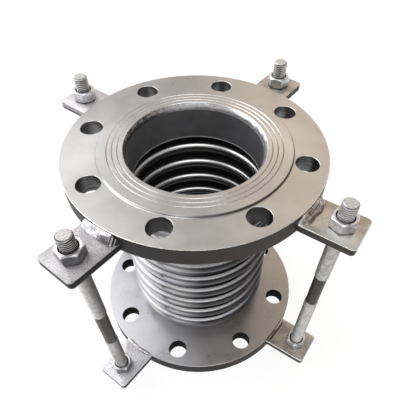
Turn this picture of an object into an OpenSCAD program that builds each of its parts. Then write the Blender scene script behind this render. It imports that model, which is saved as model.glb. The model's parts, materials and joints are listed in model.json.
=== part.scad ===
// Flanged expansion joint: a metal bellows between two plate flanges, held by four tie rods.
// Millimetres, +Z up. The origin lies on the joint's axis, level with the lower ends of the rods.
// The upper end slides down the rods when the joint is pushed together.

/* [Flanges] */
// Outer diameter of each flange
flange_od = 250; // [240:1:262]
// Thickness of a flange's body, without its raised face
flange_thick = 18; // [14:1:24]
// Diameter of the raised gasket face
raised_od = 184; // [178:1:186]
// Height of the raised gasket face
raised_high = 2; // [1:0.5:3]
// Distance from the rim to the middle of a bolt hole
bolt_edge = 20; // [17:0.5:20]
// Diameter of a bolt hole
bolt_hole = 22; // [16:0.5:22]
// Number of bolt holes
bolt_count = 8; // [4:4:8]
// Chamfer round the edges of a flange
flange_chamfer = 0.8; // [0.3:0.1:1.5]
// Chamfer at the mouth of a flange's bore
mouth_chamfer = 0.6; // [0.2:0.1:1]

/* [Gasket grooves] */
// Number of fine grooves in the raised face
groove_count = 3; // [1:1:3]
// Plain ring outside the last groove, counted in distances from one groove to the next
groove_plain = 2; // [1:0.5:3]
// Depth of a groove, which is half its width
groove_depth = 0.6; // [0.3:0.1:0.9]

/* [Pipe stubs] */
// Outer diameter of the pipe
pipe_od = 133; // [126:0.1:140]
// Wall of the pipe
pipe_wall = 1.5; // [1:0.1:4]
// How far a stub's end lies inside the gasket face
stub_inset = 7; // [5:0.5:10]
// How far a stub stands out of the flange's back
stub_reach = 21.5; // [18:0.5:26]
// Gap between the pipe and a flange's bore
bore_gap = 1; // [0.3:0.1:1.5]
// Gap between the pipe and a cuff of the bellows
cuff_gap = 0.3; // [0.2:0.1:0.6]

/* [Bellows] */
// Number of folds
fold_count = 8; // [4:1:10]
// Distance from one fold to the next
fold_pitch = 22.8; // [18:0.1:26]
// Length of the flat wall between two bends of a fold
fold_flat = 3.4; // [0:0.1:6]
// Wall of the bellows
bellows_wall = 1; // [0.6:0.1:1.6]
// Length of the plain cuff at each end
cuff_long = 10; // [6:0.5:12]
// Distance from a flange's back to the first fold
fold_start = 16.3; // [14:0.1:20]

/* [Lugs] */
// Width of a lug
lug_wide = 40; // [34:1:46]
// Thickness of a lug
lug_thick = 8; // [5:0.5:10]
// Distance from a rod's middle to the lug's outer edge
lug_margin = 19.5; // [14:0.5:24]
// Radius of a lug's outer corners
lug_corner = 4; // [2:0.5:10]
// Gap round a rod in its lug
rod_gap = 1; // [0.5:0.1:1.5]
// How far the upper lugs lie above the upper flange's back
upper_lug_lift = 1; // [0:0.5:4]
// How far each upper lug is turned about its rod, in degrees, counter-clockwise from the front right
upper_lug_turn = [3, 0, 0, -2];
// How far each lower lug is turned, in the same order
lower_lug_turn = [3, 0, 0, -1];

/* [Tie rods] */
// Distance from the flanges' rim to the middle of a rod
rod_out = 27.5; // [25:0.5:35]
// Diameter of a rod's thread
rod_d = 14; // [12:0.5:16]
// Diameter of the plain shank in a rod's middle
shank_d = 12.7; // [10:0.1:13]
// Where each rod's shank starts, above the rod's lower end, counter-clockwise from the front right
shank_low = [130, 113, 113, 100];
// Length of each rod's shank, in the same order
shank_long = [46, 50, 50, 55];
// Length of each rod above its upper nut, in the same order
rod_above = [15.5, 15.5, 14, 13];
// Length of rod below a lower outer nut
rod_below = 14.5; // [14.5:0.5:24]
// Chamfer at a rod's ends
rod_chamfer = 1.5; // [0.5:0.1:2]

/* [Nuts] */
// Width of a nut across its flats
nut_flats = 21; // [20:0.5:24]
// Height of a nut
nut_high = 11; // [8:0.5:14]
// Gap between a nut's thread and its rod
nut_gap = 0.1; // [0.05:0.05:0.3]
// How far each upper nut is turned, in degrees, counter-clockwise from the front right
upper_nut_turn = [-16, -16, 13, 20];
// How far each nut on a lower lug is turned
inner_nut_turn = [-12, 0, 20, 13];
// How far each nut under a lower lug is turned
outer_nut_turn = [0, 15, -8, 5];

/* [Welds] */
// Leg of the fillet bead between a lug and the rim
lug_bead = 6; // [4:0.5:7]
// Leg of the fillet bead at a flange's back
back_bead = 4; // [3:0.5:6]
// Width of the flat bead on the seam of a lower lug
seam_wide = 6; // [4:0.5:8]
// Height of the flat bead on the seam of a lower lug
seam_high = 1.2; // [0.6:0.1:2]
// How far the bead in the bore lies below the gasket face
bore_bead_inset = 1; // [0.5:0.5:2]
// How far a bead's face swells out
bead_swell = 0.7; // [0.2:0.1:1]

/* [Hidden] */
$fn = 96;
cut = 1;                      // how far a cutting solid runs past what it cuts
arc_steps = 5;                // straight pieces in a quarter of a fold
bead_steps = 6;               // straight pieces across a bead's face
corners = ["front_right", "back_right", "back_left", "front_left"];
first_corner = -45;           // direction of the front right rod, in degrees from +X

pipe_r = pipe_od / 2;
pipe_inner_r = pipe_r - pipe_wall;
bore_r = pipe_r + bore_gap;
rim_r = flange_od / 2;
raised_r = raised_od / 2;
bolt_circle_r = rim_r - bolt_edge;
groove_pitch = (raised_r - bore_r) / (groove_count + groove_plain);
rod_r = rod_d / 2;
rod_circle_r = rim_r + rod_out;
lug_end_r = rod_circle_r + lug_margin;
lug_hole_r = rod_r + rod_gap;
lug_span = 2 * asin(lug_wide / 2 / rim_r);    // angle that a lug covers on the rim

// Heights, from the rods' lower ends up
lower_lug_z = rod_below + nut_high;
lower_back_z = lower_lug_z + lug_thick;       // the lower lugs lie flush with the flange's back
folds_long = fold_count * fold_pitch;
upper_back_z = lower_back_z + folds_long + 2 * fold_start;
upper_lug_z = upper_back_z + upper_lug_lift;
upper_nut_z = upper_lug_z + lug_thick;
upper_nut_top = upper_nut_z + nut_high;

root_r = pipe_r + cuff_gap + bellows_wall / 2;    // middle of the wall between two folds
bend_r = fold_pitch / 4;                          // radius of a bend's middle
fold_middle_r = root_r + bend_r + fold_flat / 2;

// Profiles

// Half section of a flange that lies on z = 0 with its gasket face up
flange_profile = concat(
    [[bore_r, 0], [rim_r - flange_chamfer, 0], [rim_r, flange_chamfer],
     [rim_r, flange_thick - flange_chamfer], [rim_r - flange_chamfer, flange_thick],
     [raised_r, flange_thick], [raised_r, flange_thick + raised_high]],
    [for (i = [groove_count : -1 : 1]) each groove_points(bore_r + i * groove_pitch)],
    [[bore_r + mouth_chamfer, flange_thick + raised_high],
     [bore_r, flange_thick + raised_high - mouth_chamfer]]);

// A groove at one radius in the gasket face, from its outer edge in
function groove_points(r) = [for (side = [1, 0, -1])
    [r + side * groove_depth, flange_thick + raised_high - (1 - abs(side)) * groove_depth]];

// One face of the bellows' section, from the lower cuff's end to the upper cuff's end. It has a bend at
// each root and crest, and half a bend at each cuff. side is 1 on the outside of the wall and -1 inside.
function bellows_face(side) =
    let (r = root_r + side * bellows_wall / 2, last = 2 * fold_count)
    concat([[r, -cuff_long]],
           [for (half = [0 : last], i = [-arc_steps : arc_steps])
               if ((half > 0 || i >= 0) && (half < last || i <= 0))
                   bend_point(half, i * 90 / arc_steps, side)],
           [[r, folds_long + cuff_long]]);

// A point on one bend. Bends with an even number are roots, and the others are crests.
function bend_point(half, turn, side) =
    let (way = half % 2 == 0 ? -1 : 1, r = bend_r + side * way * bellows_wall / 2)
    [fold_middle_r + way * (fold_flat / 2 + r * cos(turn)), half * 2 * bend_r + r * sin(turn)];

function reversed(list) = [for (i = [len(list) - 1 : -1 : 0]) list[i]];

// The swollen face of a bead, from one edge to the other
function bead_face(from, to, swell) =
    let (along = to - from, normal = [along[1], -along[0]] / norm(along))
    [for (i = [0 : bead_steps])
        let (t = i / bead_steps) from + t * along + 4 * t * (1 - t) * swell * normal];

// Sub-parts

module flange() {
    color([0.80, 0.79, 0.77])
    difference() {
        rotate_extrude() polygon(flange_profile);
        for (i = [0 : bolt_count - 1])
            rotate((i + 0.5) * 360 / bolt_count)
                translate([bolt_circle_r, 0, -cut])
                    cylinder(d = bolt_hole, h = flange_thick + 2 * cut);
    }
}

// The stub's lower end in the flange's own frame is its free end
module stub() {
    length = flange_thick + raised_high - stub_inset + stub_reach;
    color([0.55, 0.56, 0.58])
    translate([0, 0, -stub_reach])
        difference() {
            cylinder(r = pipe_r, h = length);
            translate([0, 0, -cut]) cylinder(r = pipe_inner_r, h = length + 2 * cut);
        }
}

// Bead in the bore, from the end of the stub up to the edge of the gasket face
module bore_weld() {
    low = flange_thick + raised_high - stub_inset;
    high = flange_thick + raised_high - bore_bead_inset;
    color([0.87, 0.86, 0.84])
    rotate_extrude()
        polygon(concat([[bore_r, low]],
                       reversed(bead_face([bore_r, high], [pipe_inner_r, low], bead_swell))));
}

module back_weld() {
    color([0.70, 0.69, 0.67])
    rotate_extrude()
        polygon(concat([[pipe_r, 0]],
                       bead_face([pipe_r, -back_bead], [bore_r + back_bead, 0], bead_swell)));
}

module bellows() {
    color([0.62, 0.60, 0.58])
    translate([0, 0, lower_back_z + fold_start])
        rotate_extrude() polygon(concat(bellows_face(1), reversed(bellows_face(-1))));
}

// A lug that points along +X and is turned about its rod, with its inner end cut to the flange's rim
module lug(turn) {
    start = rim_r * cos(lug_span / 2) - 3 * cut - rod_circle_r;
    end = lug_margin;
    color([0.82, 0.80, 0.77])
    difference() {
        translate([rod_circle_r, 0, 0]) rotate(turn)
            linear_extrude(lug_thick) union() {
                translate([start, -lug_wide / 2]) square([end - lug_corner - start, lug_wide]);
                translate([start, lug_corner - lug_wide / 2])
                    square([end - start, lug_wide - 2 * lug_corner]);
                for (side = [-1, 1])
                    translate([end - lug_corner, side * (lug_wide / 2 - lug_corner)])
                        circle(lug_corner);
            }
        translate([0, 0, -cut]) cylinder(r = rim_r, h = lug_thick + 2 * cut);
        translate([rod_circle_r, 0, -cut]) cylinder(r = lug_hole_r, h = lug_thick + 2 * cut);
    }
}

// Turn of a lug's beads about the joint's axis, which follow the lug's inner end
function bead_turn(turn) = -asin(rod_out * sin(turn) / rim_r);

// Fillet bead on top of a lug, against the rim
module lug_weld() {
    color([0.86, 0.85, 0.84])
    rotate(-lug_span / 2)
        rotate_extrude(angle = lug_span)
            polygon(concat([[rim_r, 0]],
                           bead_face([rim_r + lug_bead, 0], [rim_r, lug_bead], bead_swell)));
}

// Flat bead over the seam between the lower flange's back and a lug
module seam_weld() {
    color([0.86, 0.85, 0.84])
    rotate(-lug_span / 2)
        rotate_extrude(angle = lug_span)
            polygon([for (i = [0 : 2 * bead_steps])
                let (turn = i * 90 / bead_steps)
                [rim_r + seam_wide / 2 * cos(turn), seam_high * sin(turn)]]);
}

module tie_rod(low, length, above) {
    run = rod_r - shank_d / 2;    // the thread runs out over this length at each end of the shank
    rod_long = upper_nut_top + above;
    color([0.72, 0.70, 0.68])
    rotate_extrude()
        polygon([[0, 0], [rod_r - rod_chamfer, 0], [rod_r, rod_chamfer],
                 [rod_r, low - run], [shank_d / 2, low],
                 [shank_d / 2, low + length], [rod_r, low + length + run],
                 [rod_r, rod_long - rod_chamfer], [rod_r - rod_chamfer, rod_long], [0, rod_long]]);
}

// A hex nut with both ends chamfered, turned about its own axis
module nut(turn) {
    corner_r = nut_flats / 2 / cos(30);
    face_r = nut_flats / 2 * 0.95;
    chamfer = (corner_r - face_r) / 2;
    color([0.73, 0.74, 0.77])
    rotate(turn)
        difference() {
            intersection() {
                cylinder(r = corner_r, h = nut_high, $fn = 6);
                rotate_extrude()
                    polygon([[0, 0], [face_r, 0], [corner_r, chamfer],
                             [corner_r, nut_high - chamfer], [face_r, nut_high], [0, nut_high]]);
            }
            translate([0, 0, -cut]) cylinder(r = rod_r + nut_gap, h = nut_high + 2 * cut);
        }
}

// Places

// What belongs to the upper end, with z = 0 at the flange's back
module at_upper() { translate([0, 0, upper_back_z]) children(); }

// The same for the lower end, which faces down
module at_lower() { translate([0, 0, lower_back_z]) mirror([0, 0, 1]) children(); }

// What belongs to one corner, at a height
module at_corner(i, z) { translate([0, 0, z]) rotate(first_corner + 90 * i) children(); }

// The same, on the rod's own axis
module at_rod(i, z) { at_corner(i, z) translate([rod_circle_r, 0, 0]) children(); }

module upper_lug(i) { at_corner(i, upper_lug_z) lug(upper_lug_turn[i]); }
module lower_lug(i) { at_corner(i, lower_lug_z) lug(lower_lug_turn[i]); }
module upper_lug_weld(i) { at_corner(i, upper_nut_z) rotate(bead_turn(upper_lug_turn[i])) lug_weld(); }
module lower_seam_weld(i) { at_corner(i, lower_back_z) rotate(bead_turn(lower_lug_turn[i])) seam_weld(); }
module lower_lug_weld(i) {
    at_corner(i, lower_lug_z) rotate(bead_turn(lower_lug_turn[i])) mirror([0, 0, 1]) lug_weld();
}
module rod(i) { at_rod(i, 0) tie_rod(shank_low[i], shank_long[i], rod_above[i]); }
module upper_nut(i) { at_rod(i, upper_nut_z) nut(upper_nut_turn[i]); }
module lower_inner_nut(i) { at_rod(i, lower_back_z) nut(inner_nut_turn[i]); }
module lower_outer_nut(i) { at_rod(i, rod_below) nut(outer_nut_turn[i]); }

at_upper() flange();  // upper_flange
at_lower() flange();  // lower_flange
at_upper() stub();  // upper_stub
at_lower() stub();  // lower_stub
bellows();
at_upper() bore_weld();  // upper_bore_weld
at_lower() bore_weld();  // lower_bore_weld
at_upper() back_weld();  // upper_back_weld
at_lower() back_weld();  // lower_back_weld
for (i = [0 : len(corners) - 1]) {
    upper_lug(i);
    upper_lug_weld(i);
    lower_lug(i);
    lower_seam_weld(i);
    lower_lug_weld(i);
    rod(i);
    upper_nut(i);
    lower_inner_nut(i);
    lower_outer_nut(i);
}
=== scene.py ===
"""The looks of a flanged expansion joint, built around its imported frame.

Sizes are in millimetres in the joint's own frame, and become metres when a mesh is made.
"""

import json
import math

import bmesh
import bpy
import numpy as np
from mathutils import Matrix, Vector, noise

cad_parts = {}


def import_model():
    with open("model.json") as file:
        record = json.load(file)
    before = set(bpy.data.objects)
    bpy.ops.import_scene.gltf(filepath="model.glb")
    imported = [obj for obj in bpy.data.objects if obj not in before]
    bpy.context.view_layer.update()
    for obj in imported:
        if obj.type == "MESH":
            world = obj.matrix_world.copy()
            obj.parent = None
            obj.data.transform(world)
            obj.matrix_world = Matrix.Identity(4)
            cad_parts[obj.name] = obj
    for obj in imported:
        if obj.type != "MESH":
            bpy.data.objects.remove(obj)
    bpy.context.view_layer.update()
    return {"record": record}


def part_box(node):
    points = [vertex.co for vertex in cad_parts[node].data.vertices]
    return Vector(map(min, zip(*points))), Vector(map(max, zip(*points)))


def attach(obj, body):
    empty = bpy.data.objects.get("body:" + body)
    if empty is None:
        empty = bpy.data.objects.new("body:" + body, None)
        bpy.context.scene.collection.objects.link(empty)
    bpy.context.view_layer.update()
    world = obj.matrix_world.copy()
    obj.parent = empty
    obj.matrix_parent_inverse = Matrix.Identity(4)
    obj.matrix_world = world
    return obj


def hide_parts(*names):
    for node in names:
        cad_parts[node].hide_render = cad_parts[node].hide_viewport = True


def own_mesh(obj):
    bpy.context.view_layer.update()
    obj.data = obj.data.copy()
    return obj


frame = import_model()
record = frame["record"]

MM = 0.001
CORNERS = ("front_right", "back_right", "back_left", "front_left")

# The camera, fitted to the flange, the lugs and the rods in the photograph
CAMERA_AT = (-29.8, -300.74, 499.35)
CAMERA_YAW = 9.269        # degrees from +Y towards +X
CAMERA_PITCH = 52.655     # degrees below the horizon
CAMERA_ROLL = 0.974       # degrees
CAMERA_FOCAL = 392.672    # pixels
CAMERA_CENTRE = (213.839, 250.297)    # where the optical axis meets the picture
PICTURE = 400

# The studio's bright panels: azimuth from +Y towards +X, height, inner and outer spread in degrees, colour
PANELS = (
    (-62, 29, 24, 54, (1.32, 1.33, 1.35)),
    (38, 30, 14, 40, (0.60, 0.48, 0.37)),
    (180, 62, 8, 32, (1.10, 1.10, 1.11)),
)

# The key lamp, in metres and watts
KEY_AT = (-0.7, 0.5, 1.3)
KEY_SIZE = 0.9
KEY_POWER = 2.2
KEY_COLOR = (1.0, 0.99, 0.97)
KEY_AIM = (0, 0, 0.15)

# Fine sizes of the plates and pipes that the solids leave out
EDGE = 0.5                # rounding of a plate's edges
RIM_CURVE = ((1.6, 0), (0.5, 0.4), (0, 1.6))    # a flange's rounded rim: in from rim and face, times EDGE
LUG_EDGE = 0.8            # rounding of a lug's edges
HOLE_EDGE = 0.35          # chamfer round a bolt hole
STEP_FOOT = 0.8           # reach of the fillet at the foot of the raised face's step
STEP_CURVE = (0.3, 0.4)   # the middle of that fillet, out from the step and up from the face
STEP_EDGE = 0.5           # chamfer at the top of the step
STUB_EDGE = 0.4           # chamfer round the pipe's free end
LIP_BAND = 1.4            # bright band inside the pipe's free end

# Fine sizes of the rods and nuts
THREAD_PITCH = 2.0
THREAD_DEPTH = 1.1
THREAD_SHOWN = 18         # length below a rod's top where the thread's roots are dark with painted shade
THREAD_PHASES = (0.0, 0.34, 0.52, 0.78)    # shares of the pitch: the crest's two edges, then the root's
SHANK_TAPER = 1           # length over which the thread runs out into the shank
SHANK_DARK_OVERLAP = 0.3         # how far the shank's brown reaches into that
ROD_CHAMFER = 1.3
ROD_END_RADII = (4.6, 3.4, 2.2, 1.1)    # rings of points on a rod's sawn end
ROD_END_DENT = 0.35       # depth of the dents there
ROD_END_GRAIN = 1.7       # width of the dents
NUT_EDGE = 0.3            # rounding of a nut's corners
NUT_FOOT = 0.7            # height of the painted shadow line at a nut's foot
NUT_FACE = 0.955          # a nut's flat end, as a share of the distance to its flats
NUT_CHAMFER = 30          # degrees
NUT_BITE = 0.2            # how far a nut's bore reaches into the rod's thread
COUNTERSINK = 1.5

# Fine sizes of the weld beads
RIPPLE = 2.6              # distance from one ripple of a lug's bead to the next
RIPPLE_SHARE = 0.006      # how much the bead's size changes along its ripples
LUMP_SHARE = 0.16         # how much it changes along its lumps
BEAD_END = 0.3            # size of the bead at its very ends, as a share of its full size
BORE_RIPPLE = 3.38        # the same in the bore
BEAD_R = 70               # radius at which the noise round the bore's bead is read
BORE_LAP = 0.8            # how far the bore's bead laps over the pipe's end
BORE_INSET = 0.9          # how far its upper edge lies below the gasket face
BORE_WANDER = 0.63        # how far that edge wanders
BORE_LUMPS = 0.3          # height of the lumps on its face
BORE_RIPPLES = 0.05       # height of the ripples there
BEAD_SWELL = 0.7          # how far the face of the bore's and the back's beads swells
BACK_BEAD = (5, 4)        # the back bead's legs, out on the flange and down the pipe
UPPER_FILLET = (7, 7.5)   # an upper lug bead's legs, out on the lug and up the rim
LOWER_FILLET = (6, 6)
SEAM_BEAD = (2.4, 0.8)    # a seam bead's half width and height
SEAM_SHARE = 0.98         # share of a lug's width that a seam bead covers
SINK_IN = 0.3             # how far the lugs' beads reach into the rim
SINK_DOWN = 0.2           # how far they reach into the lug

# Marks that lie at one place, in metres
SHADOWED_RINGS = (0, 1, 2, 4, 5, 8)    # steps of the front left upper bead, from its front end, that are black with painted shadow
WHITE_STEP_RINGS = range(3)             # the same for bright steps of the front right upper bead
LIGHT_AND_SHADE_SPOTS = (                    # painted light and shade on the upper flange: place and reach, colour
    ((-0.090, 0.010, 0.284), 0.070, (0.95, 0.95, 0.94)),
    ((0.075, -0.005, 0.284), 0.055, (0.92, 0.86, 0.80)),
    ((0.010, 0.105, 0.284), 0.065, (0.42, 0.41, 0.40)),
    ((0.000, -0.085, 0.284), 0.045, (0.44, 0.43, 0.42)),
)
RUST_AT = (0.0935, -0.0885, 0.2575)      # on the front right upper lug beside its bead
REFLECTION_AT = (0.1029, -0.1207, 0.2575)    # a painted reflection on the same lug, in front of its nut


def box_mm(node):
    """A CAD node's lowest and highest corners, in millimetres."""
    low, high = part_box(node)
    return np.array(low) / MM, np.array(high) / MM


# Sizes read from the frame

BODY_OF = {n: body for body, nodes in record["behaviour"]["bodies"].items() for n in nodes}

bolts = next(m for m in record["mounts"] if m["name"] == "upper_bolt_holes")
flange_low, flange_high = box_mm("upper_flange")
stub_low, stub_high = box_mm("upper_stub")
bellows_low, bellows_high = box_mm("bellows")
lug_low, lug_high = box_mm("upper_lug_front_right")
rod_low, rod_high = box_mm("tie_rod_front_right")
nut_low, nut_high = box_mm("upper_nut_front_right")

BOLT_RING = bolts["dims"]["pcd_mm"] / 2
BOLT_R = bolts["dims"]["hole_r_mm"]
BOLT_COUNT = bolts["dims"]["count"]
RIM_R = flange_high[0]
FLANGE_TOP = bolts["pos_m"][2] / MM
FLANGE_BACK = flange_low[2]
RAISED = flange_high[2] - FLANGE_TOP
PIPE_R = stub_high[0]
STUB_LONG = stub_high[2] - stub_low[2]
STUB_REACH = FLANGE_BACK - stub_low[2]
LOWER_BACK = box_mm("lower_flange")[1][2]
FOLDS_LOW, FOLDS_HIGH = bellows_low[2], bellows_high[2]
LUG_TOP = lug_high[2]
LUG_THICK = LUG_TOP - lug_low[2]
LOWER_LUG = box_mm("lower_lug_front_right")[0][2]
ROD_R = (rod_high[0] - rod_low[0]) / 2
ROD_RING = math.hypot(*((rod_low + rod_high) / 2)[:2])
NUT_HIGH = nut_high[2] - nut_low[2]

# Sizes that match the solids' own source
RAISED_R = 92
BORE_R = PIPE_R + 1
MOUTH = 0.6
PIPE_WALL = 1.5
GROOVES = [BORE_R + (RAISED_R - BORE_R) / 5 * (i + 1) for i in range(3)]
GROOVE = 0.6
FOLD_COUNT = 8
FOLD_FLAT = 3.4
BELLOWS_WALL = 1
CUFF_R = PIPE_R + 0.3
CUFF = 10
BEND_R = (FOLDS_HIGH - FOLDS_LOW - 2 * CUFF) / FOLD_COUNT / 4
LUG_HALF = 20
LUG_END = ROD_RING + 19.5
LUG_CORNER = 4
LUG_HOLE_R = ROD_R + 1
NUT_HALF = 10.5
SHANK_R = 6.35
SHANKS = {                # each shank's start and length; the front two start higher than in the solids
    "front_right": (137, 46),
    "back_right": (113, 50),
    "back_left": (113, 50),
    "front_left": (109, 55),
}
NUT_TURNS = {             # degrees, in the order of CORNERS
    "upper_nut": (-16, -16, 13, 20),
    "lower_inner_nut": (-12, 0, 20, 13),
    "lower_outer_nut": (0, 15, -8, 5),
}
NUT_HEIGHTS = {"upper_nut": LUG_TOP, "lower_inner_nut": LOWER_BACK, "lower_outer_nut": LOWER_LUG - NUT_HIGH}
LUG_TURNS = {"upper": (3, 0, 0, -2), "lower": (3, 0, 0, -1)}    # degrees, in the order of CORNERS


def corner_angle(corner):
    """The direction of a corner's rod from the axis, in radians."""
    return math.radians(-45 + 90 * CORNERS.index(corner))


# Node graphs


class Graph:
    """A short way to write a material's or the world's nodes."""

    def __init__(self, tree):
        self.tree = tree
        tree.nodes.clear()

    def add(self, kind, out=0, **sockets):
        """Adds a node with its inputs set or linked, and returns an output. Capitals name properties."""
        node = self.tree.nodes.new("ShaderNode" + kind)
        for name, value in sockets.items():
            if name.isupper():
                setattr(node, name.lower(), value)
                continue
            key = int(name[1:]) if name[0] == "i" and name[1:].isdigit() else name.replace("_", " ")
            socket = node.inputs[key]
            if isinstance(value, bpy.types.NodeSocket):
                self.tree.links.new(value, socket)
            else:
                socket.default_value = value
        return node.outputs[out] if node.outputs else None

    def math(self, operation, a, b=0.0):
        return self.add("Math", OPERATION=operation, i0=a, i1=b)

    def times(self, a, b):
        return self.math("MULTIPLY", a, b)

    def ramp(self, value, low, high, to_low=0.0, to_high=1.0):
        """The value, moved smoothly from one range to another."""
        return self.add("MapRange", INTERPOLATION_TYPE="SMOOTHSTEP", Value=value,
                        From_Min=low, From_Max=high, To_Min=to_low, To_Max=to_high)

    def mix(self, share, a, b, blend="MIX"):
        """A colour between two others."""
        node = self.tree.nodes.new("ShaderNodeMix")
        node.data_type, node.blend_type = "RGBA", blend
        for index, value in ((0, share), (6, a), (7, b)):
            if isinstance(value, bpy.types.NodeSocket):
                self.tree.links.new(value, node.inputs[index])
            else:
                node.inputs[index].default_value = (*value, 1) if index else value
        return node.outputs[2]

    def shaded(self, tint, shade):
        """A colour times a number."""
        return self.mix(1.0, tint, self.add("CombineXYZ", i0=shade, i1=shade, i2=shade), "MULTIPLY")

    def noise(self, where, scale, detail, rough=0.55):
        return self.add("TexNoise", Vector=where, Scale=scale, Detail=detail, Roughness=rough)

    def split(self, where):
        """The three parts of a place."""
        return tuple(self.add("SeparateXYZ", Vector=where).node.outputs)

    def distance(self, where, spot):
        return self.add("VectorMath", out=1, OPERATION="DISTANCE", i0=where, i1=spot)

    def toward(self, where, degrees):
        """How far a place lies from the joint's axis in a direction, counter-clockwise from +X."""
        way = (math.cos(math.radians(degrees)), math.sin(math.radians(degrees)), 0)
        return self.add("VectorMath", out=1, OPERATION="DOT_PRODUCT", i0=where, i1=way)


def surface(name, make):
    """A material. make(graph, place) adds its nodes and returns the values of the shader's sockets."""
    material = bpy.data.materials.new(name)
    material.use_nodes = True
    g = Graph(material.node_tree)
    place = g.add("TexCoord", out=3)
    values = make(g, place)
    shader = g.add("BsdfPrincipled", **values)
    g.add("OutputMaterial", Surface=shader)
    return material


def side_light_tint(g, place, left, right, low=-0.09, high=0.13):
    """Painted light: a colour that turns from the cooler left to the warmer right of the joint."""
    return g.mix(g.ramp(g.split(place)[0], low, high), left, right)


def bumped(g, heights, distance):
    return g.add("Bump", Strength=1.0, Distance=distance, Height=heights)


def sprayed(left, right, rough, metallic, shine=0.5):
    """Satin sprayed steel with faint clouds, painted light and shade spots, and painted warm light on the
    right.
    """

    def make(g, place):
        clouds = g.noise(place, 38, 3)
        tint = side_light_tint(g, place, left, right)
        # Painted light and shade spots
        for spot, reach, other in LIGHT_AND_SHADE_SPOTS:
            tint = g.mix(g.ramp(g.distance(place, spot), 0.0, reach, 0.6, 0), tint, other)
        tint = g.shaded(tint, g.ramp(clouds, 0.3, 0.7, 0.93, 1.05))
        return dict(Base_Color=tint, Metallic=metallic, Specular_IOR_Level=shine,
                    Roughness=g.ramp(clouds, 0.3, 0.7, rough - 0.04, rough + 0.05))

    return make


def plain_metal(dark, light, rough, metallic, scale=120, bump=0.00004):
    """Bare or plated steel that varies between two tones."""

    def make(g, place):
        clouds = g.noise(place, scale, 5)
        grain = g.noise(place, 1800, 3)
        tint = g.mix(g.ramp(clouds, 0.35, 0.65), dark, light)
        return dict(Base_Color=tint, Metallic=metallic, Normal=bumped(g, grain, bump),
                    Roughness=g.ramp(clouds, 0.3, 0.7, rough - 0.06, rough + 0.06))

    return make


def hole_steel(g, place):
    """The drilled holes' walls, with the tool's rings, in painted shade at the joint's front and painted
    light at its back.
    """
    cuts = g.noise(g.add("VectorMath", OPERATION="MULTIPLY", i0=place, i1=(1, 1, 12)), 90, 3)
    y = g.split(place)[1]
    tint = g.mix(g.ramp(cuts, 0.38, 0.62), (0.07, 0.07, 0.07), (0.20, 0.20, 0.205))
    # Painted shade on the walls at the joint's front, painted light at its back
    tint = g.mix(g.ramp(y, -0.09, -0.03, 0.85, 0), tint, (0.03, 0.03, 0.03))
    tint = g.mix(g.ramp(y, 0.0, 0.05, 0, 0.4), tint, (0.42, 0.41, 0.42))
    return dict(Base_Color=tint, Metallic=1.0, Roughness=0.45, Normal=bumped(g, cuts, 0.0001))


def hole_black(g, place):
    """The lower flange's holes, nearly black inside."""
    patches = g.noise(place, 300, 3)
    tint = g.mix(g.ramp(patches, 0.4, 0.6), (0.006, 0.006, 0.007), (0.016, 0.016, 0.017))
    return dict(Base_Color=tint, Roughness=0.8, Specular_IOR_Level=0.15)


def step_steel(g, place):
    """The raised face's step, with a painted highlight at one place and painted brown shade away from it."""
    # Painted highlight on the step's front left, painted brown shade on its right
    step_highlight = g.ramp(g.toward(place, -128), 0.076, 0.088)
    shaded_side = side_light_tint(g, place, (0.42, 0.42, 0.42), (0.17, 0.14, 0.12), -0.05, 0.03)
    tint = g.mix(step_highlight, shaded_side, (0.95, 0.95, 0.95))
    return dict(Base_Color=tint, Metallic=0.8, Roughness=g.ramp(step_highlight, 0, 1, 0.45, 0.22))


def groove_steel(left, right, back):
    """The wall of a turned groove, in other tones on the joint's left, right and back; its lit and shaded
    walls are painted copies.
    """

    def make(g, place):
        fine = g.noise(place, 900, 2)
        front = side_light_tint(g, place, left, right, -0.04, 0.04)
        tint = g.mix(g.ramp(g.split(place)[1], -0.03, 0.03), front, back)
        tint = g.shaded(tint, g.ramp(fine, 0.35, 0.65, 0.8, 1.1))
        return dict(Base_Color=tint, Metallic=0.85, Roughness=0.28)

    return make


def radius_mm(g, place):
    """The distance from the joint's axis, in millimetres."""
    flat = g.add("VectorMath", OPERATION="MULTIPLY", i0=place, i1=(1 / MM, 1 / MM, 0))
    return g.add("VectorMath", out=1, OPERATION="LENGTH", i0=flat)


def fold_share(g):
    """The fold number, and how far through its fold a point lies: 0 at a root, 0.5 at the crest."""
    folds = g.add("Attribute", out=2, ATTRIBUTE_NAME="folds")
    return folds, g.math("FRACT", folds)


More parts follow.
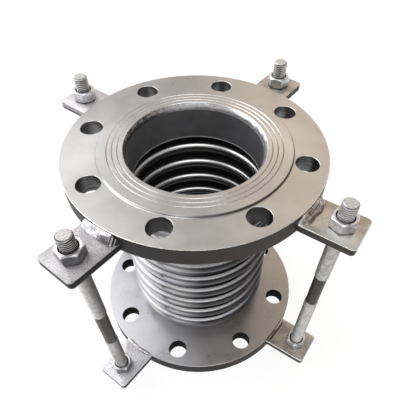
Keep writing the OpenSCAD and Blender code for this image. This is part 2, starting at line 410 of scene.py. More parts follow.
def folded_outside(g, place):
    """Bright drawn steel, with painted shade on its crests, undersides, flats and right side and at its ends
    under the flanges, and painted highlights on its shoulders and crests.
    """
    folds, share = fold_share(g)
    x = g.split(place)[0]
    left = g.ramp(x, -0.04, 0.02, 1, 0)
    # Painted shade on the folds' crests and undersides, weaker on the left
    fold_shade = g.times(g.ramp(share, 0.70, 0.755, 1, 0), g.ramp(share, 0.02, 0.12))
    fold_shade = g.times(fold_shade, g.ramp(x, -0.045, -0.002, 0.4, 1))
    # Painted shade at both ends, under the flanges
    away = g.math("ABSOLUTE", g.math("SUBTRACT", folds, FOLD_COUNT / 2))
    fold_shade = g.math("MAXIMUM", fold_shade, g.ramp(away, 3.3, 4.1, 0, 0.85))
    # Painted brown shade on the right side
    shaded_side = g.ramp(g.toward(place, -25), 0.060, 0.082)
    tint = g.mix(shaded_side, (0.88, 0.88, 0.90), (0.11, 0.078, 0.068))
    tint = g.mix(fold_shade, tint, (0.06, 0.058, 0.062))
    # Painted shade on the folds' flats
    flat = g.times(g.ramp(share, 0.768, 0.772), g.ramp(share, 0.80, 0.9, 1, 0))
    tint = g.mix(g.times(flat, g.ramp(left, 0, 1, 0.6, 0.2)), tint, (0.10, 0.095, 0.095))
    # Painted highlight on the shoulders, on the left
    shoulder = g.times(g.ramp(share, 0.72, 0.74), g.ramp(share, 0.767, 0.771, 1, 0))
    tint = g.mix(g.times(shoulder, left), tint, (1.0, 1.0, 1.0))
    # Painted highlight along the crests, away from the right
    crest = g.ramp(g.math("ABSOLUTE", g.math("SUBTRACT", share, 0.48)), 0.0, 0.05, 1, 0)
    wear_and_sheen = g.times(g.times(crest, 0.35), g.ramp(x, 0.02, 0.06, 1, 0))
    tint = g.mix(wear_and_sheen, tint, (0.55, 0.54, 0.55))
    return dict(Base_Color=tint, Metallic=g.ramp(shoulder, 0, 1, 1, 0.2),
                Roughness=g.ramp(fold_shade, 0, 1, 0.22, 0.30))


def folded_inside(g, place):
    """The bellows' inner face: nearly black in painted shade in the folds, with a painted highlight line
    above each root.
    """
    share = fold_share(g)[1]
    # Painted highlight above each root
    bright = g.ramp(g.math("ABSOLUTE", g.math("SUBTRACT", share, 0.165)), 0.03, 0.085, 1, 0)
    tint = g.mix(bright, (0.05, 0.047, 0.046), (1.0, 1.0, 1.0))
    return dict(Base_Color=tint, Metallic=g.ramp(bright, 0, 1, 0.3, 1),
                Roughness=g.ramp(bright, 0, 1, 0.4, 0.25))


def lug_steel(g, place):
    """Glossy sprayed plate: pale and speckled on the left, clouded beige in painted warm light on the right,
    painted light at the back and on the lower lugs, a painted reflection in front of one nut, one rust
    stain.
    """
    clouds = g.noise(place, 60, 4, 0.6)
    grain = g.noise(place, 850, 2)
    peel = g.noise(place, 380, 3)
    x, y, z = g.split(place)
    right = g.ramp(x, -0.02, 0.05)
    pale = g.mix(g.ramp(clouds, 0.38, 0.62), (0.52, 0.505, 0.52), (0.64, 0.63, 0.645))
    # Painted light: paler towards the back and on the lower lugs
    paler_in_light = g.math("MAXIMUM", g.ramp(y, 0.0, 0.06, 0, 0.6), g.ramp(z, 0.1, 0.2, 0.6, 0))
    pale = g.mix(paler_in_light, pale, (0.95, 0.94, 0.97))
    warm = g.mix(g.ramp(clouds, 0.38, 0.62), (0.42, 0.37, 0.31), (0.62, 0.575, 0.52))
    tint = g.mix(right, pale, warm)
    speckle = g.times(g.ramp(grain, 0.54, 0.66, 0, 0.55), g.ramp(right, 0, 1, 1, 0.6))
    tint = g.mix(speckle, tint, (0.13, 0.12, 0.12))
    # Painted reflection in front of the front right upper nut
    tint = g.mix(g.ramp(g.distance(place, REFLECTION_AT), 0.002, 0.024, 0.8, 0), tint, (0.88, 0.88, 0.87))
    ragged = g.math("ADD", g.distance(place, RUST_AT), g.times(peel, 0.008))
    tint = g.mix(g.ramp(ragged, 0.005, 0.010, 0.6, 0), tint, (0.24, 0.11, 0.055))
    return dict(Base_Color=tint, Metallic=g.ramp(right, 0, 1, 0.75, 0.5),
                Roughness=g.ramp(right, 0, 1, 0.5, 0.25), Normal=bumped(g, peel, 0.00012))


def side_steel(g, place):
    """A lug's edge: dark in painted shade, but pale in painted light above a dark line on the back left lug.
    """
    dark = side_light_tint(g, place, (0.03, 0.029, 0.029), (0.08, 0.07, 0.058))
    back_left = g.ramp(g.toward(place, 135), 0.06, 0.08)
    line_low, line_high = ((LUG_TOP - LUG_THICK * share) * MM for share in (0.72, 0.6))
    above = g.ramp(g.split(place)[2], line_low, line_high)
    tint = g.mix(g.times(back_left, above), dark, (0.50, 0.49, 0.51))
    return dict(Base_Color=tint, Roughness=0.45, Specular_IOR_Level=0.1)


def weld_steel(g, place):
    """The lugs' beads: whitish on the left, brown in painted warm light on the right, with streaks that run
    along the seam, and darker away from the seam on the lower beads.
    """
    x, y, z = g.split(place)
    r = radius_mm(g, place)
    along = g.times(g.math("ARCTAN2", y, x), 0.03)
    streaks = g.noise(g.add("CombineXYZ", i0=g.times(r, MM), i1=along, i2=z), 330, 3, 0.6)
    lumps = g.noise(place, 300, 3)
    both = g.math("ADD", g.times(lumps, 0.3), g.times(streaks, 0.7))
    # Painted warm light on the right
    right = g.ramp(x, 0.0, 0.07)
    light = g.mix(right, (0.82, 0.81, 0.82), (0.66, 0.60, 0.54))
    dark = g.mix(right, (0.44, 0.43, 0.45), (0.22, 0.165, 0.13))
    tint = g.mix(g.ramp(both, 0.43, 0.53), dark, light)
    off_seam = g.math("ABSOLUTE", g.math("SUBTRACT", r, RIM_R))
    toe = g.times(g.ramp(off_seam, 0.8, 1.5), g.ramp(z, 0.1, 0.2, 1, 0))
    tint = g.mix(toe, tint, g.mix(right, (0.36, 0.35, 0.36), (0.075, 0.058, 0.045)))
    return dict(Base_Color=tint, Metallic=0.85, Roughness=0.26, Normal=bumped(g, both, 0.0003))


def bore_steel(g, place):
    """The bore's bead: white on the right, mauve grey with dark cracks on the left, with a painted shadow
    line along the pipe on the left.
    """
    lumps = g.noise(place, 260, 4, 0.6)
    left = g.ramp(g.split(place)[0], -0.05, 0.0, 1, 0)
    light = g.mix(left, (1.0, 1.0, 1.0), (0.46, 0.42, 0.41))
    dark = g.mix(left, (0.86, 0.84, 0.87), (0.10, 0.09, 0.09))
    tint = g.mix(g.ramp(lumps, 0.42, 0.56), dark, light)
    # Painted shadow line where the bead meets the pipe, on the left
    inner = g.ramp(radius_mm(g, place), BORE_R - 2.2, BORE_R - 1.1, 1, 0)
    tint = g.mix(g.times(inner, left), tint, (0.15, 0.148, 0.155))
    return dict(Base_Color=tint, Metallic=0.8, Roughness=0.3, Normal=bumped(g, lumps, 0.0001))


def rod_steel(g, place):
    """Plated studding with faint blotches. The left rods carry painted shade on their right side, more below
    the upper lugs, and are darker low down.
    """
    blotches = g.noise(place, 260, 4, 0.6)
    fine = g.noise(place, 1500, 2)
    tint = g.mix(g.ramp(blotches, 0.38, 0.62), (0.60, 0.595, 0.59), (0.80, 0.795, 0.79))
    facing_right = g.split(g.add("TexCoord", out=1))[0]
    x, y, z = g.split(place)
    # Painted shade on the side that faces right, stronger below the upper lugs
    right_side_shade = g.times(g.ramp(facing_right, -0.2, 0.8), g.ramp(x, -0.05, 0.02, 0.95, 0.2))
    right_side_shade = g.times(right_side_shade, g.ramp(y, -0.02, 0.02, 1, 0.15))
    right_side_shade = g.times(right_side_shade, g.ramp(z, (LUG_TOP - LUG_THICK) * MM, LUG_TOP * MM, 1, 0.45))
    # Darker towards the foot of the left rods
    foot = g.times(g.ramp(z, 0.06, 0.13, 0.42, 0), g.ramp(x, -0.05, 0.02, 1, 0))
    tint = g.mix(g.math("MAXIMUM", right_side_shade, foot), tint, (0.12, 0.11, 0.10))
    return dict(Base_Color=tint, Metallic=0.8, Roughness=g.ramp(blotches, 0.3, 0.7, 0.34, 0.46),
                Normal=bumped(g, fine, 0.00005))


def shank_steel(g, place):
    """A rod's plain middle, dark brown: a painted dark reflection in its smooth face."""
    blotches = g.noise(place, 200, 3)
    tint = g.mix(g.ramp(blotches, 0.35, 0.65), (0.034, 0.027, 0.021), (0.054, 0.044, 0.035))
    return dict(Base_Color=tint, Roughness=0.35, Specular_IOR_Level=0.3)


def root_steel(g, place):
    """The thread's roots at a rod's top, in painted shade, darkest on the front left rod."""
    front_left = g.ramp(g.toward(place, -135), 0.05, 0.1)
    tint = g.mix(front_left, (0.46, 0.455, 0.45), (0.10, 0.095, 0.09))
    return dict(Base_Color=tint, Metallic=0.8, Roughness=0.4)


def nut_steel(g, place):
    """A nut's flats: violet grey in painted shade on the front left, pale on the back left, bright zinc on
    the right.
    """
    blotches = g.noise(place, 220, 4)
    x, y = g.split(place)[:2]
    # Painted shade on the front left nuts
    left = g.mix(g.ramp(y, -0.02, 0.02), (0.24, 0.235, 0.275), (0.62, 0.61, 0.64))
    tint = g.mix(g.ramp(x, -0.04, 0.04), left, (0.62, 0.62, 0.63))
    tint = g.shaded(tint, g.ramp(blotches, 0.35, 0.65, 0.8, 1.15))
    return dict(Base_Color=tint, Metallic=0.9, Roughness=0.3, Normal=bumped(g, blotches, 0.0001))


FLANGE_FACE = surface("flange_face", sprayed((0.58, 0.578, 0.575), (0.60, 0.555, 0.505), 0.31, 0.7))
LOWER_FACE = surface("lower_face", sprayed((0.68, 0.68, 0.72), (0.53, 0.475, 0.42), 0.31, 0.7))
# Both rims are painted near black as a dark reflection of the surroundings
FLANGE_RIM = surface("flange_rim", sprayed((0.03, 0.029, 0.03), (0.055, 0.041, 0.03), 0.5, 0.2, shine=0.25))
LOWER_RIM = surface("lower_rim", sprayed((0.03, 0.029, 0.03), (0.034, 0.028, 0.023), 0.5, 0.0, shine=0.08))
HOLE_WALL = surface("hole_wall", hole_steel)
HOLE_DARK = surface("hole_dark", hole_black)
# Bright edges: worn bare metal with a painted highlight
EDGE_METAL = surface("edge_metal",
                     plain_metal((0.78, 0.77, 0.76), (0.95, 0.94, 0.93), 0.25, 0.9, scale=400))
STEP_METAL = surface("step_metal", step_steel)
# Painted lit and shaded copies of a groove's walls
GROOVE_LIT = surface("groove_lit", groove_steel((0.98, 0.98, 0.98), (0.85, 0.79, 0.73), (0.30, 0.29, 0.28)))
GROOVE_SHADED = surface("groove_dark",
                      groove_steel((0.16, 0.16, 0.165), (0.32, 0.28, 0.25), (0.96, 0.94, 0.92)))
STUB_METAL = surface("stub_metal",
                     plain_metal((0.215, 0.213, 0.225), (0.25, 0.248, 0.262), 0.42, 0.6, scale=60))
STUB_LIP = surface("stub_lip", plain_metal((0.66, 0.66, 0.68), (0.76, 0.76, 0.78), 0.5, 0.2, scale=60))
BELLOWS_METAL = surface("bellows_metal", folded_outside)
BELLOWS_INSIDE = surface("bellows_inside", folded_inside)
WELD_METAL = surface("weld_metal", weld_steel)
BORE_WELD = surface("bore_weld", bore_steel)
# Near-black painted shadow at the front left upper bead's end
BEAD_SHADOW = surface("bead_shadow", plain_metal((0.008, 0.008, 0.009), (0.05, 0.045, 0.045), 0.2, 0.2, scale=400))
LUG_METAL = surface("lug_metal", lug_steel)
LUG_SIDE = surface("lug_side", side_steel)
ROD_METAL = surface("rod_metal", rod_steel)
THREAD_ROOT = surface("thread_root", root_steel)
ROD_END = surface("rod_end",
                  plain_metal((0.50, 0.49, 0.47), (0.84, 0.83, 0.81), 0.5, 0.5, scale=750, bump=0.0002))
SHANK_METAL = surface("shank_metal", shank_steel)
NUT_TOP = surface("nut_top", plain_metal((0.70, 0.70, 0.72), (0.86, 0.86, 0.88), 0.3, 0.9, scale=250))
NUT_SIDE = surface("nut_side", nut_steel)
# Painted shadow at a nut's foot, lower chamfer, bore and countersinks
NUT_SHADOW = surface("nut_dark",
                   plain_metal((0.012, 0.011, 0.011), (0.03, 0.028, 0.028), 0.5, 0.5, scale=300))


# Meshes


def mesh_object(name, points, faces, materials, slots=None, sharp=38):
    """An object from points in millimetres, with its double points joined and its faces turned out."""
    mesh = bpy.data.meshes.new(name)
    mesh.from_pydata([tuple(p) for p in np.asarray(points) * MM], [], faces)
    for material in materials:
        mesh.materials.append(material)
    if slots is not None:
        mesh.polygons.foreach_set("material_index", slots)
    work = bmesh.new()
    work.from_mesh(mesh)
    bmesh.ops.remove_doubles(work, verts=work.verts, dist=2e-6)
    bmesh.ops.dissolve_degenerate(work, dist=1e-7, edges=work.edges)
    bmesh.ops.recalc_face_normals(work, faces=work.faces)
    work.to_mesh(mesh)
    work.free()
    mesh.shade_smooth()
    mesh.set_sharp_from_angle(angle=math.radians(sharp))
    obj = bpy.data.objects.new(name, mesh)
    bpy.context.scene.collection.objects.link(obj)
    return obj


def ring_faces(count, size, loop, first=0):
    """The faces between rings of points, each joined to the next."""
    faces = []
    for i in range(count if loop else count - 1):
        a, b = first + i * size, first + (i + 1) % count * size
        faces += [(a + j, a + (j + 1) % size, b + (j + 1) % size, b + j) for j in range(size)]
    return faces


def ring_object(name, rings, materials, bands=None, loop=False, caps=False, sharp=38):
    """An object made of rings. bands gives the material of each gap between two rings."""
    count, size = len(rings), len(rings[0])
    faces = ring_faces(count, size, loop)
    slots = [bands[i // size] if bands else 0 for i in range(len(faces))]
    if caps:
        faces += [tuple(range(size))[::-1], tuple((count - 1) * size + j for j in range(size))]
        slots += [slots[0], slots[-1]]
    return mesh_object(name, np.concatenate(rings), faces, materials, slots, sharp)


def level(xy, z):
    """Flat points at a height."""
    return np.column_stack([xy, np.full(len(xy), float(z))])


def circle(r, z, count=160):
    """A ring of points round the joint's axis."""
    turn = np.arange(count) * 2 * math.pi / count
    return level(np.stack([r * np.cos(turn), r * np.sin(turn)], 1), z)


def revolved(name, profile, materials, bands=None, count=160, sharp=38):
    """A closed outline of (radius, height), turned about the axis."""
    rings = [circle(r, z, count) for r, z in profile]
    return ring_object(name, rings, materials, bands, loop=True, sharp=sharp)


def moved(points, angle=0.0, out=0.0, up=0.0, flip=False):
    """Points moved out along +X, turned about the axis and lifted. flip turns them upside down first."""
    p = np.array(points, float)
    if flip:
        p[:, 2] *= -1
    p[:, 0] += out
    c, s = math.cos(angle), math.sin(angle)
    return np.stack([p[:, 0] * c - p[:, 1] * s, p[:, 0] * s + p[:, 1] * c, p[:, 2] + up], 1)


def dress(obj, node):
    """The object stands for a CAD node, on that node's body."""
    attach(obj, BODY_OF[node])
    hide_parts(node)


# Flanges


def sector_outline(r_in, r_out, half, n_in, n_side, n_out):
    """The edge of one bolt hole's share of the plate, about +X, as points in order round it."""
    side = np.linspace(r_in, r_out, n_side + 1)
    out = np.linspace(-half, half, n_out + 1)
    inner = np.linspace(half, -half, n_in + 1)
    points = [(r * math.cos(half), -r * math.sin(half)) for r in side[:-1]]
    points += [(r_out * math.cos(a), r_out * math.sin(a)) for a in out[:-1]]
    points += [(r * math.cos(half), r * math.sin(half)) for r in side[:0:-1]]
    points += [(r_in * math.cos(a), r_in * math.sin(a)) for a in inner[:-1]]
    return np.array(points)


def flange(name, back, facing):
    """A flange whose gasket face points up (facing 1) or down (facing -1), with its back at a height."""
    thick = FLANGE_TOP - FLANGE_BACK
    top = thick + RAISED
    foot = RAISED_R + STEP_FOOT
    n_in, n_side, n_out = 16, 12, 20
    face, rim, wall, wear_and_sheen, step, shaded, lit = range(7)
    points, faces, slots = [], [], []

    def add(rings, bands):
        size = len(rings[0])
        made = ring_faces(len(rings), size, False, sum(len(p) for p in points))
        points.extend(rings)
        faces.extend(made)
        slots.extend(bands[i // size] for i in range(len(made)))

    rim_edge = RIM_R - EDGE * RIM_CURVE[0][0]
    outline = sector_outline(foot, rim_edge, math.pi / BOLT_COUNT, n_in, n_side, n_out)
    spoke_turns = -math.pi + (np.arange(len(outline)) + n_in / 2) * 2 * math.pi / len(outline)
    spokes = np.stack([np.cos(spoke_turns), np.sin(spoke_turns)], 1)
    centre = np.array([BOLT_RING, 0])
    hole, hole_edge = centre + spokes * BOLT_R, centre + spokes * (BOLT_R + HOLE_EDGE)
    sector = [level(outline, thick), level(hole_edge, thick), level(hole, thick - HOLE_EDGE),
              level(hole, 0), level(outline, 0)]
    for k in range(BOLT_COUNT):
        turn = (k + 0.5) * 2 * math.pi / BOLT_COUNT
        add([moved(ring, turn) for ring in sector], [face, wear_and_sheen, wall, face])

    upper = [(RIM_R - EDGE * r, thick - EDGE * z) for r, z in RIM_CURVE]
    lower = [(RIM_R - EDGE * r, EDGE * z) for r, z in reversed(RIM_CURVE)]
    add([circle(r, z, n_out * BOLT_COUNT) for r, z in upper + lower], [wear_and_sheen, rim, rim, rim, face])

    hub = [(foot, thick), (RAISED_R + STEP_CURVE[0], thick + STEP_CURVE[1]),
           (RAISED_R, top - STEP_EDGE), (RAISED_R - STEP_EDGE, top)]
    for r in reversed(GROOVES):
        hub += [(r + GROOVE, top), (r, top - GROOVE), (r - GROOVE, top)]
    hub += [(BORE_R + MOUTH, top), (BORE_R, top - MOUTH), (BORE_R, 0), (foot, 0)]
    bands = [step] * 3 + [face, shaded, lit] * len(GROOVES) + [face, wear_and_sheen, wall, face]
    add([circle(r, z, n_in * BOLT_COUNT) for r, z in hub], bands)

    placed = np.concatenate(points)
    placed[:, 2] = back + facing * placed[:, 2]
    own = [FLANGE_FACE, FLANGE_RIM, HOLE_WALL] if facing > 0 else [LOWER_FACE, LOWER_RIM, HOLE_DARK]
    metals = own + [EDGE_METAL, STEP_METAL, GROOVE_SHADED, GROOVE_LIT]
    return mesh_object(name, placed, faces, metals, slots, 12)


def stub(name, back, facing):
    """The pipe in a flange's bore, from inside the gasket face to its free end below the back."""
    low, high = -STUB_REACH, STUB_LONG - STUB_REACH
    edge = low + STUB_EDGE
    inner = PIPE_R - PIPE_WALL
    profile = [(PIPE_R, edge), (PIPE_R, high), (inner, high), (inner, edge + LIP_BAND), (inner, edge),
               (inner + STUB_EDGE, low), (PIPE_R - STUB_EDGE, low)]
    plain, lip = range(2)
    bands = [plain, plain, plain, lip, lip, plain, plain]
    return revolved(name, [(r, back + facing * z) for r, z in profile], [STUB_METAL, STUB_LIP], bands)


# Weld beads


def lump(x, y, z, size, seed=0.0):
    """Smooth noise from -1 to 1, with lumps of about a size in millimetres."""
    return noise.noise(Vector((x / size + seed, y / size, z / size)))


def bore_bead(name, back, facing):
    """The rough bead between the bore's edge and the end of the pipe."""
    low = STUB_LONG - STUB_REACH - BORE_LAP
    high = FLANGE_TOP - FLANGE_BACK + RAISED - BORE_INSET
    inner = PIPE_R - PIPE_WALL + 0.15
    count = 480
    rings = []
    for t in np.linspace(0, 1, 10):
        ring = []
        for a in np.arange(count) * 2 * math.pi / count:
            x, y = math.cos(a) * BEAD_R, math.sin(a) * BEAD_R
            rough = BORE_LUMPS * lump(x, y, t * 9, size=6)
            ripple = BORE_RIPPLES * math.sin(2 * math.pi * a * BORE_R / BORE_RIPPLE + 2.4 * t)
            wander = BORE_WANDER * lump(x, y, 5, size=16, seed=3)
            swell = math.sin(math.pi * t) * (BEAD_SWELL + rough + ripple)
            r = BORE_R - (BORE_R - inner) * t - swell * 0.8
            z = high + wander * (1 - t) - (high - low) * t + swell * 0.35
            ring.append((r * math.cos(a), r * math.sin(a), back + facing * z))
        rings.append(np.array(ring))
    outer = circle(BORE_R + 0.05, back + facing * (low + 0.3), count)
    return ring_object(name, [*rings, outer], [BORE_WELD], loop=True, sharp=60)


def back_bead(name, back, facing):
    """The fillet between a flange's back and the pipe."""
    out, down = BACK_BEAD
    profile = [(PIPE_R, 0.0)]
    for t in np.linspace(0, 1, 9):
        swell = BEAD_SWELL * math.sin(math.pi * t)
        profile.append((PIPE_R + out * t + swell * 0.6, -down * (1 - t) - swell * 0.7))
    return revolved(name, [(r, back + facing * z) for r, z in profile], [WELD_METAL], sharp=60)


def rim_bead(name, corner, z, section, seed, overrun=1.0, flip=False):
    """A bead along a lug's seam. section(size, shift) gives its outline."""
    half = math.asin(LUG_HALF / RIM_R) * overrun
    lug_turn = math.radians(LUG_TURNS[name.split("_")[0]][CORNERS.index(corner)])
    middle = corner_angle(corner) - math.asin((ROD_RING - RIM_R) * math.sin(lug_turn) / RIM_R)
    count = 64
    rings = []
    for t in np.linspace(0, 1, count + 1):
        angle = (2 * t - 1) * half
        along = angle * RIM_R
        end = min(1.0, BEAD_END + 5 * min(t, 1 - t))
        ripple = RIPPLE_SHARE * math.cos(2 * math.pi * along / RIPPLE)
        rough = LUMP_SHARE * lump(along, seed * 7, 0, size=11)
        outline = section(end * (1 + ripple + rough), lump(along, seed * 3, 4, size=14))
        rings.append(moved([(r, 0, h) for r, h in outline], middle + angle, up=z, flip=flip))
    plain, black, bright = range(3)
    bands = [plain] * count
    if name == "upper_lug_bead_front_left":
        bands = [black if count - 1 - k in SHADOWED_RINGS else plain for k in range(count)]
    if name == "upper_lug_bead_front_right":
        bands = [bright if k in WHITE_STEP_RINGS else plain for k in range(count)]
    return ring_object(name, rings, [WELD_METAL, BEAD_SHADOW, EDGE_METAL], bands, caps=True, sharp=70)


def fillet(out, high):
    """The outline of a bead in the corner between a lug and the rim."""

    def section(size, shift):
        points = [(RIM_R - SINK_IN, -SINK_DOWN), (RIM_R + out * size, -SINK_DOWN)]
        for t in np.linspace(0, 1, 9):
            swell = (0.9 * math.sin(math.pi * t) + 0.3 * math.sin(3 * math.pi * t + 2 * shift)) * size
            r = RIM_R + out * size * (1 - t) + swell * 0.7 + 0.3 * shift * t
            points.append((r, high * size * t + swell * 0.7))
        return points + [(RIM_R - SINK_IN, high * size)]

    return section


def flat_bead(half, high):
    """The outline of a low bead over a flush seam."""

    def section(size, shift):
        middle, reach = RIM_R + shift, half * size
        points = [(middle + reach * math.cos(a), high * size * math.sin(a))
                  for a in np.linspace(0, math.pi, 9)]
        return points + [(middle - reach, -SINK_DOWN), (middle + reach, -SINK_DOWN)]

    return section


# Lugs, rods and nuts


def lug_outline(turn):
    """A lug's edge, for a lug that points along +X and is turned about its rod, as points in order."""
    far, near = LUG_END - ROD_RING - LUG_CORNER, LUG_HALF - LUG_CORNER
    corner = [(LUG_CORNER * math.cos(a), LUG_CORNER * math.sin(a)) for a in np.linspace(0, math.pi / 2, 7)]
    tips = [(far + x, -near - y) for x, y in reversed(corner)]
    tips += [(far + LUG_CORNER, y) for y in np.linspace(-near, near, 9)[1:-1]]
    tips += [(far + x, near + y) for x, y in corner]
    c, s = math.cos(turn), math.sin(turn)
    tips = [np.array((ROD_RING + x * c - y * s, x * s + y * c)) for x, y in tips]

    def foot(tip):
        """Where the lug's side that ends at a tip meets the rim."""
        way = np.array((-c, -s))
        reach = tip @ way
        return tip + way * (-reach - math.sqrt(reach ** 2 - tip @ tip + RIM_R ** 2))

    feet = foot(tips[0]), foot(tips[-1])
    first, last = (math.atan2(y, x) for x, y in feet)
    points = [*np.linspace(feet[0], tips[0], 11)[:-1], *tips, *np.linspace(tips[-1], feet[1], 11)[1:]]
    points += [(RIM_R * math.cos(a), RIM_R * math.sin(a)) for a in np.linspace(last, first, 17)[1:-1]]
    return np.array(points)


def inset(outline, size):
    """The outline moved in by a size, square to each edge, so that its corners keep their shape."""
    ahead = np.roll(outline, -1, 0) - outline
    ahead /= np.linalg.norm(ahead, axis=1)[:, None]
    behind = np.roll(ahead, 1, 0)
    normals = [np.stack([-v[:, 1], v[:, 0]], 1) for v in (ahead, behind)]
    middle = normals[0] + normals[1]
    middle /= np.linalg.norm(middle, axis=1)[:, None]
    return outline + size * middle / np.sum(middle * normals[0], 1)[:, None]


def lug(name, corner, z, turn):
    """A lug plate with softly rounded edges."""
    outline = lug_outline(math.radians(turn))
    centre = np.array([ROD_RING, 0])
    spokes = outline - centre
    spokes /= np.linalg.norm(spokes, axis=1)[:, None]

    def ring(xy, height):
        return moved(level(xy, height), corner_angle(corner), up=z)

    hole = spokes * LUG_HOLE_R + centre
    lip = spokes * (LUG_HOLE_R + EDGE) + centre
    t, e = LUG_THICK, LUG_EDGE
    soft = e * 0.3
    face, bend = inset(outline, e), inset(outline, soft)
    rings = [ring(lip, t), ring(face, t), ring(bend, t - soft), ring(outline, t - e), ring(outline, e),
             ring(bend, soft), ring(face, 0), ring(lip, 0), ring(hole, e), ring(hole, t - e)]
    flat, side, edge = range(3)
    bands = [flat, edge, edge, side, side, side, flat, flat, side, flat]
    # The front right lug's bevels get the bright edge metal with its painted highlight
    edge_metal = EDGE_METAL if corner == "front_right" else LUG_METAL
    return ring_object(name, rings, [LUG_METAL, LUG_SIDE, edge_metal], bands, loop=True, sharp=25)


def rod(name, corner):
    """A stud with a true helical thread at both ends and a plain shank between them."""
    low = SHANKS[corner][0]
    high = low + SHANKS[corner][1]
    top = box_mm(f"tie_rod_{corner}")[1][2]
    thread, shank, sawn, root = range(4)
    phases = len(THREAD_PHASES)
    count = 28
    turns = np.arange(count) * 2 * math.pi / count
    rows = [k + p - 1 for k in range(int(top / THREAD_PITCH) + 3) for p in THREAD_PHASES]
    points, faces, slots = [], [], []
    for i, row in enumerate(rows):
        for j, a in enumerate(turns):
            z = min(max((row + j / count) * THREAD_PITCH, 0.0), top)
            r = ROD_R - (THREAD_DEPTH if i % phases > 1 else 0.0)
            plain = min(max(min(z - low, high - z) / SHANK_TAPER + 1, 0.0), 1.0)
            r += (SHANK_R - r) * plain
            r = min(r, ROD_R - ROD_CHAMFER + min(z, top - z))
            points.append((r * math.cos(a), r * math.sin(a), z))
    for i in range(len(rows) - phases - 1):
        for j in range(count):
            a = i * count + j
            b = a + 1 if j < count - 1 else (i + phases) * count
            faces.append((a, b, b + count, a + count))
            z = points[a][2]
            slot = root if i % phases in (1, 2) and z > top - THREAD_SHOWN else thread
            slots.append(shank if low - SHANK_DARK_OVERLAP < z < high + SHANK_DARK_OVERLAP else slot)
    for end, inward in ((0.0, 1), (top, -1)):
        first = len(points)
        radii = (ROD_R - ROD_CHAMFER, *ROD_END_RADII)
        for r in radii:
            for a in turns:
                x, y = r * math.cos(a), r * math.sin(a)
                dent = ROD_END_DENT * abs(lump(x, y, CORNERS.index(corner) * 9, ROD_END_GRAIN))
                points.append((x, y, end if r == radii[0] else end + inward * dent))
        faces += ring_faces(len(radii), count, False, first)
        faces.append(tuple(range(len(points) - count, len(points))))
        slots += [sawn] * (count * (len(radii) - 1) + 1)
    placed = moved(points, corner_angle(corner), ROD_RING)
    return mesh_object(name, placed, faces, [ROD_METAL, SHANK_METAL, ROD_END, THREAD_ROOT], slots, 50)


def nut(name, corner, z, turn):
    """A hex nut, chamfered at both ends, with a countersunk hole."""
    count = 72
    angles = np.arange(count) * 2 * math.pi / count
    hexagon = NUT_HALF / np.cos(angles % (math.pi / 3) - math.pi / 6)
    flat_r = NUT_HALF * NUT_FACE
    drop = np.maximum(hexagon - flat_r, 0) * math.tan(math.radians(NUT_CHAMFER))

    def ring(r, h):
        r, h = np.broadcast_to(r, count), np.broadcast_to(h, count)
        points = np.stack([r * np.cos(angles), r * np.sin(angles), h], 1)
        return moved(moved(points, math.radians(turn)), corner_angle(corner), ROD_RING, z)

    bore = ROD_R - NUT_BITE
    mouth = bore + COUNTERSINK
    high, e = NUT_HIGH, NUT_EDGE
    rings = [ring(mouth, high), ring(flat_r, high), ring(hexagon - e, high - drop + e * 0.3),
             ring(hexagon, high - drop - e), ring(hexagon, drop + NUT_FOOT), ring(hexagon, drop + e),
             ring(hexagon - e, drop - e * 0.3), ring(flat_r, 0), ring(mouth, 0),
             ring(bore, COUNTERSINK), ring(bore, high - COUNTERSINK)]
    top, side, dark = range(3)
    # The foot line, lower chamfer, bore and countersinks take the painted shadow
    bands = [top, top, top, side, dark, dark, dark, top, dark, dark, dark]
    return ring_object(name, rings, [NUT_TOP, NUT_SIDE, NUT_SHADOW], bands, loop=True, sharp=22)


# Bellows


def bend_point(half, turn, side):
    """A point on a bend of the bellows' section: a root where half is even and a crest where it is odd."""
    way = 1 if half % 2 else -1
    r = BEND_R + side * way * BELLOWS_WALL / 2
    middle = CUFF_R + BELLOWS_WALL / 2 + BEND_R + FOLD_FLAT / 2
    return middle + way * (FOLD_FLAT / 2 + r * math.cos(turn)), half * 2 * BEND_R + r * math.sin(turn)


def bellows():
    """The folded tube."""
    steps = 7
    start = FOLDS_LOW + CUFF
    last = 2 * FOLD_COUNT
    profile = []
    for side in (1, -1):
        r = CUFF_R + BELLOWS_WALL * (1 + side) / 2
        wall = [(r, FOLDS_LOW)]
        for half in range(last + 1):
            first = 0 if half == 0 else -steps
            final = 0 if half == last else steps
            for i in range(first, final + 1):
                bend_r, bend_z = bend_point(half, math.pi / 2 * i / steps, side)
                wall.append((bend_r, start + bend_z))
        wall.append((r, FOLDS_HIGH))
        profile += wall[::side]
    bands = [0] * len(wall) + [1] * len(wall)
    made = revolved("bellows_folds", profile, [BELLOWS_METAL, BELLOWS_INSIDE], bands, 168, 50)
    folds = made.data.attributes.new("folds", "FLOAT", "POINT")
    folds.data.foreach_set("value", [(v.co.z / MM - start) / (4 * BEND_R) for v in made.data.vertices])
    dress(made, "bellows")
    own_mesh(made)


# The joint

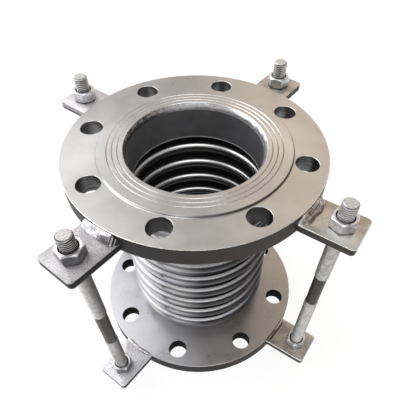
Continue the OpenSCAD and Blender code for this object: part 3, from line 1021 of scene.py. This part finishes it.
for end, back, facing in (("upper", FLANGE_BACK, 1), ("lower", LOWER_BACK, -1)):
    dress(flange(f"{end}_flange_face", back, facing), f"{end}_flange")
    dress(stub(f"{end}_pipe", back, facing), f"{end}_stub")
    dress(bore_bead(f"{end}_bore_bead", back, facing), f"{end}_bore_weld")
    dress(back_bead(f"{end}_back_bead", back, facing), f"{end}_back_weld")
for index, corner in enumerate(CORNERS):
    for end, height in (("upper", LUG_TOP - LUG_THICK), ("lower", LOWER_LUG)):
        dress(lug(f"{end}_lug_plate_{corner}", corner, height, LUG_TURNS[end][index]), f"{end}_lug_{corner}")
    dress(rim_bead(f"upper_lug_bead_{corner}", corner, LUG_TOP, fillet(*UPPER_FILLET), index + 1),
          f"upper_lug_weld_{corner}")
    dress(rim_bead(f"lower_seam_bead_{corner}", corner, LOWER_BACK, flat_bead(*SEAM_BEAD), index + 5,
                   SEAM_SHARE), f"lower_seam_weld_{corner}")
    dress(rim_bead(f"lower_lug_bead_{corner}", corner, LOWER_LUG, fillet(*LOWER_FILLET), index + 9,
                   flip=True), f"lower_lug_weld_{corner}")
    dress(rod(f"threaded_rod_{corner}", corner), f"tie_rod_{corner}")
    for kind, height in NUT_HEIGHTS.items():
        dress(nut(f"{kind}_hex_{corner}", corner, height, NUT_TURNS[kind][index]), f"{kind}_{corner}")
bellows()


# Floor, light and camera


def floor():
    """A plain pale floor that shows white and keeps the joint's shadow."""
    size = 6000
    obj = mesh_object("floor", [(-size, -size, 0), (size, -size, 0), (size, size, 0), (-size, size, 0)],
                      [(0, 1, 2, 3)], [])
    material = bpy.data.materials.new("floor")
    material.use_nodes = True
    g = Graph(material.node_tree)
    matte = g.add("BsdfDiffuse", Color=(0.80, 0.80, 0.80, 1))
    shadowed = g.add("BsdfDiffuse", Color=(0.25, 0.25, 0.25, 1))
    glow = g.add("Emission", Color=(1, 1, 1, 1), Strength=0.85)
    both = g.add("AddShader", i0=shadowed, i1=glow)
    rays = g.add("LightPath").node.outputs
    seen = g.math("MAXIMUM", rays["Is Camera Ray"], rays["Is Glossy Ray"])
    seen = g.math("MAXIMUM", seen, rays["Is Transmission Ray"])
    g.add("OutputMaterial", Surface=g.add("MixShader", i0=seen, i1=matte, i2=both))
    obj.data.materials.append(material)


def world():
    """A soft studio: dim all round, with broad bright panels to the left, the right and the front."""
    scene_world = bpy.data.worlds.new("studio")
    bpy.context.scene.world = scene_world
    scene_world.use_nodes = True
    g = Graph(scene_world.node_tree)
    way = g.add("TexCoord", out=0)
    light = g.mix(0.0, (0.345, 0.341, 0.338), (0, 0, 0))
    for azimuth, height, inner, outer, tint in PANELS:
        turn, rise = math.radians(azimuth), math.radians(height)
        middle = (math.sin(turn) * math.cos(rise), math.cos(turn) * math.cos(rise), math.sin(rise))
        near = g.add("VectorMath", out=1, OPERATION="DOT_PRODUCT", i0=way, i1=middle)
        share = g.ramp(near, math.cos(math.radians(outer)), math.cos(math.radians(inner)))
        light = g.mix(1.0, light, g.mix(share, (0, 0, 0), tint), "ADD")
    g.add("OutputWorld", Surface=g.add("Background", Color=light, Strength=1.0))


def key_lamp():
    """A soft square lamp that points at the joint's middle."""
    data = bpy.data.lights.new("key", "AREA")
    data.size, data.energy, data.color = KEY_SIZE, KEY_POWER, KEY_COLOR
    obj = bpy.data.objects.new("key", data)
    obj.location = KEY_AT
    obj.rotation_mode = "QUATERNION"
    obj.rotation_quaternion = (Vector(KEY_AIM) - Vector(KEY_AT)).to_track_quat("-Z", "Y")
    bpy.context.scene.collection.objects.link(obj)


def camera():
    """The camera that fits the photograph."""
    yaw, pitch, roll = (math.radians(a) for a in (CAMERA_YAW, CAMERA_PITCH, CAMERA_ROLL))
    ahead = Vector((math.sin(yaw) * math.cos(pitch), math.cos(yaw) * math.cos(pitch), -math.sin(pitch)))
    right = ahead.cross(Vector((0, 0, 1))).normalized()
    up = right.cross(ahead)
    level_right = math.cos(roll) * right + math.sin(roll) * up
    level_up = math.cos(roll) * up - math.sin(roll) * right
    turn = Matrix((level_right, level_up, -ahead)).transposed()
    data = bpy.data.cameras.new("camera")
    data.sensor_width = 36
    data.lens = CAMERA_FOCAL / PICTURE * data.sensor_width
    data.shift_x = (PICTURE / 2 - CAMERA_CENTRE[0]) / PICTURE
    data.shift_y = (CAMERA_CENTRE[1] - PICTURE / 2) / PICTURE
    data.clip_start, data.clip_end = 0.01, 20
    obj = bpy.data.objects.new("camera", data)
    obj.matrix_world = Matrix.Translation(Vector(CAMERA_AT) * MM) @ turn.to_4x4()
    bpy.context.scene.collection.objects.link(obj)
    bpy.context.scene.camera = obj


floor()
world()
key_lamp()
camera()
bpy.context.scene.view_settings.view_transform = "Standard"
